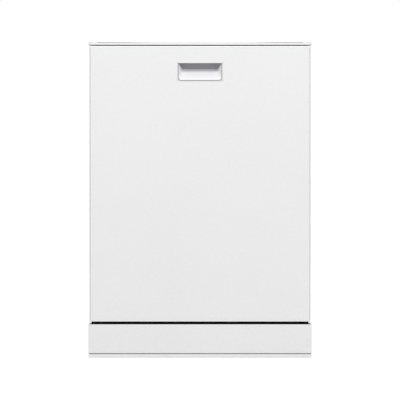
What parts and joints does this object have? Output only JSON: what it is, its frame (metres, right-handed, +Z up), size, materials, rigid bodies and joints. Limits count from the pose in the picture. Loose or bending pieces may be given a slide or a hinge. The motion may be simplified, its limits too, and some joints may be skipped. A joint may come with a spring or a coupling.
{
  "type": "dishwasher",
  "caption": "White free-standing dishwasher with a drop-down door, finger pocket handle, kick plate, stainless tub, spray arms and two wire racks that slide out.",
  "frame": {"origin": "on the floor under the middle of the cabinet", "axes": "+Z up, the door faces -Y, +X to the right of someone who looks along +Y at the door"},
  "size_m": [0.6, 0.6, 0.85],
  "materials": {
    "white_enamel": "smooth white baked enamel",
    "white_plastic": "moulded white, satin gloss",
    "handle_plastic": "moulded pale grey white",
    "stainless": "satin stainless sheet",
    "galvanised": "galvanised sheet",
    "spring_steel": "drawn spring steel",
    "grey_rubber": "dark grey seal rubber",
    "black_plastic": "black moulding",
    "grey_plastic": "grey polypropylene",
    "light_plastic": "pale grey polypropylene",
    "blue_plastic": "blue moulding",
    "rack_nylon": "wire dipped in grey nylon",
    "board_green": "coated circuit board",
    "hose_rubber": "black moulded hose"
  },
  "bodies": {
    "cabinet": {"worktop": "white_plastic", "side_panel_left": "white_enamel", "side_panel_right": "white_enamel", "back_cover": "galvanised", "kick_plate": "white_enamel", "plinth_skirt": "white_enamel", "base_tray": "black_plastic", "levelling_feet": "black_plastic", "tub_wrap": "stainless", "tub_back": "stainless", "tub_floor": "stainless", "tub_gasket": "grey_rubber", "sump": "grey_plastic", "filter_plate": "stainless", "circulation_pump": "black_plastic", "drain_pump": "black_plastic", "pump_hoses": "hose_rubber", "inlet_valve": "light_plastic", "air_break_tank": "light_plastic", "feed_pipe": "grey_plastic", "hinge_brackets": "galvanised", "door_springs": "spring_steel", "latch_striker": "galvanised"},
    "door": {"door_outer_panel": "white_enamel", "handle_pocket": "handle_plastic", "door_inner_panel": "stainless", "control_strip": "white_plastic", "control_board": "board_green", "latch_body": "black_plastic", "hinge_arms": "galvanised", "dispenser_body": "grey_plastic", "door_lower_seal": "grey_rubber"},
    "lower_rack": {"lower_rack": "rack_nylon", "cutlery_basket": "light_plastic"},
    "upper_rack": {"upper_rack": "rack_nylon", "rack_feed_tube": "grey_plastic"},
    "dispenser_lid": {"dispenser_lid": "light_plastic"},
    "rinse_aid_cap": {"rinse_aid_cap": "blue_plastic"},
    "latch_hook": {"latch_hook": "galvanised"},
    "button_1": {"button_1": "light_plastic"},
    "button_2": {"button_2": "light_plastic"},
    "button_3": {"button_3": "light_plastic"},
    "button_4": {"button_4": "light_plastic"},
    "filter_cylinder": {"filter_cylinder": "light_plastic"},
    "lower_spray_arm": {"lower_spray_arm": "grey_plastic"},
    "upper_spray_arm": {"upper_spray_arm": "grey_plastic"},
    "top_spray_arm": {"top_spray_arm": "grey_plastic"},
    "tine_row_front": {"tine_row_front": "rack_nylon"},
    "tine_row_rear": {"tine_row_rear": "rack_nylon"},
    "cup_shelf": {"cup_shelf": "rack_nylon"},
    "lower_wheels_1": {"lower_wheels_1": "grey_plastic"},
    "lower_wheels_2": {"lower_wheels_2": "grey_plastic"},
    "upper_wheels_front": {"upper_wheels_front": "grey_plastic"},
    "upper_wheels_rear": {"upper_wheels_rear": "grey_plastic"},
    "rail_rollers_front": {"rail_rollers_front": "light_plastic"},
    "rail_rollers_rear": {"rail_rollers_rear": "light_plastic"},
    "upper_rails": {"upper_rails": "stainless"}
  },
  "joints": [
    {"name": "door_hinge", "type": "hinge", "parent": "cabinet", "child": "door", "pos_m": [0, -0.265, 0.128], "axis": [1, 0, 0], "range_deg": [0, 90], "stiffness_Nm_per_rad": 17, "deforming": ["door_springs"]},
    {"name": "dispenser_lid_slide", "type": "slide", "parent": "door", "child": "dispenser_lid", "axis": [0, 0, -1], "range_m": [0, 0.052]},
    {"name": "rinse_cap_turn", "type": "hinge", "parent": "door", "child": "rinse_aid_cap", "pos_m": [0.052, -0.2465, 0.484], "axis": [0, 1, 0], "range_deg": [0, 90]},
    {"name": "latch_hook_lift", "type": "hinge", "parent": "door", "child": "latch_hook", "pos_m": [0, -0.2798, 0.814], "axis": [-1, 0, 0], "range_deg": [0, 20], "stiffness_Nm_per_rad": 0.5},
    {"name": "button_1_press", "type": "slide", "parent": "door", "child": "button_1", "axis": [0, 0, -1], "range_m": [0, 0.002], "stiffness_N_per_m": 800, "springref_m": -0.0005},
    {"name": "button_2_press", "type": "slide", "parent": "door", "child": "button_2", "axis": [0, 0, -1], "range_m": [0, 0.002], "stiffness_N_per_m": 800, "springref_m": -0.0005},
    {"name": "button_3_press", "type": "slide", "parent": "door", "child": "button_3", "axis": [0, 0, -1], "range_m": [0, 0.002], "stiffness_N_per_m": 800, "springref_m": -0.0005},
    {"name": "button_4_press", "type": "slide", "parent": "door", "child": "button_4", "axis": [0, 0, -1], "range_m": [0, 0.002], "stiffness_N_per_m": 800, "springref_m": -0.0005},
    {"name": "filter_turn", "type": "hinge", "parent": "cabinet", "child": "filter_cylinder", "pos_m": [0, -0.048, 0.1], "axis": [0, 0, 1], "range_deg": [0, 60]},
    {"name": "lower_arm_spin", "type": "hinge", "parent": "cabinet", "child": "lower_spray_arm", "pos_m": [0, 0.01, 0.178], "axis": [0, 0, 1], "continuous": true},
    {"name": "top_arm_spin", "type": "hinge", "parent": "cabinet", "child": "top_spray_arm", "pos_m": [0, 0.01, 0.77], "axis": [0, 0, 1], "continuous": true},
    {"name": "upper_arm_spin", "type": "hinge", "parent": "upper_rack", "child": "upper_spray_arm", "pos_m": [0, 0.01, 0.436], "axis": [0, 0, 1], "continuous": true},
    {"name": "lower_rack_slide", "type": "slide", "parent": "cabinet", "child": "lower_rack", "axis": [0, -1, 0], "range_m": [0, 0.118]},
    {"name": "upper_rack_slide", "type": "slide", "parent": "cabinet", "child": "upper_rack", "axis": [0, -1, 0], "range_m": [0, 0.4801]},
    {"name": "upper_rails_slide", "type": "slide", "parent": "cabinet", "child": "upper_rails", "axis": [0, -1, 0], "range_m": [0, 0.26]},
    {"name": "lower_wheels_1_turn", "type": "hinge", "parent": "lower_rack", "child": "lower_wheels_1", "pos_m": [0, -0.165, 0.1663], "axis": [1, 0, 0], "continuous": true},
    {"name": "lower_wheels_2_turn", "type": "hinge", "parent": "lower_rack", "child": "lower_wheels_2", "pos_m": [0, 0.165, 0.1663], "axis": [1, 0, 0], "continuous": true},
    {"name": "upper_wheels_front_turn", "type": "hinge", "parent": "upper_rack", "child": "upper_wheels_front", "pos_m": [0, 0, 0.545], "axis": [1, 0, 0], "continuous": true},
    {"name": "upper_wheels_rear_turn", "type": "hinge", "parent": "upper_rack", "child": "upper_wheels_rear", "pos_m": [0, 0.18, 0.545], "axis": [1, 0, 0], "continuous": true},
    {"name": "rail_rollers_front_turn", "type": "hinge", "parent": "cabinet", "child": "rail_rollers_front", "pos_m": [0, -0.228, 0.545], "axis": [1, 0, 0], "continuous": true},
    {"name": "rail_rollers_rear_turn", "type": "hinge", "parent": "cabinet", "child": "rail_rollers_rear", "pos_m": [0, -0.09, 0.545], "axis": [1, 0, 0], "continuous": true},
    {"name": "tine_row_front_fold", "type": "hinge", "parent": "lower_rack", "child": "tine_row_front", "pos_m": [0, 0.07, 0.2188], "axis": [1, 0, 0], "range_deg": [0, 80]},
    {"name": "tine_row_rear_fold", "type": "hinge", "parent": "lower_rack", "child": "tine_row_rear", "pos_m": [0, 0.16, 0.2188], "axis": [1, 0, 0], "range_deg": [0, 80]},
    {"name": "cup_shelf_fold", "type": "hinge", "parent": "upper_rack", "child": "cup_shelf", "pos_m": [-0.23, -0.02, 0.5931], "axis": [0, -1, 0], "range_deg": [0, 90]}
  ],
  "couplings": [
    {"joint": "lower_rack_slide", "follows": "door_hinge", "m_per_rad": 0.075},
    {"joint": "upper_rack_slide", "follows": "door_hinge", "m_per_rad": 0.3056},
    {"joint": "upper_rails_slide", "follows": "door_hinge", "m_per_rad": 0.1655},
    {"joint": "lower_wheels_1_turn", "follows": "door_hinge", "ratio": 3.9474},
    {"joint": "lower_wheels_2_turn", "follows": "door_hinge", "ratio": 3.9474},
    {"joint": "upper_wheels_front_turn", "follows": "door_hinge", "ratio": 15.567},
    {"joint": "upper_wheels_rear_turn", "follows": "door_hinge", "ratio": 15.567},
    {"joint": "rail_rollers_front_turn", "follows": "door_hinge", "ratio": 18.389},
    {"joint": "rail_rollers_rear_turn", "follows": "door_hinge", "ratio": 18.389}
  ]
}
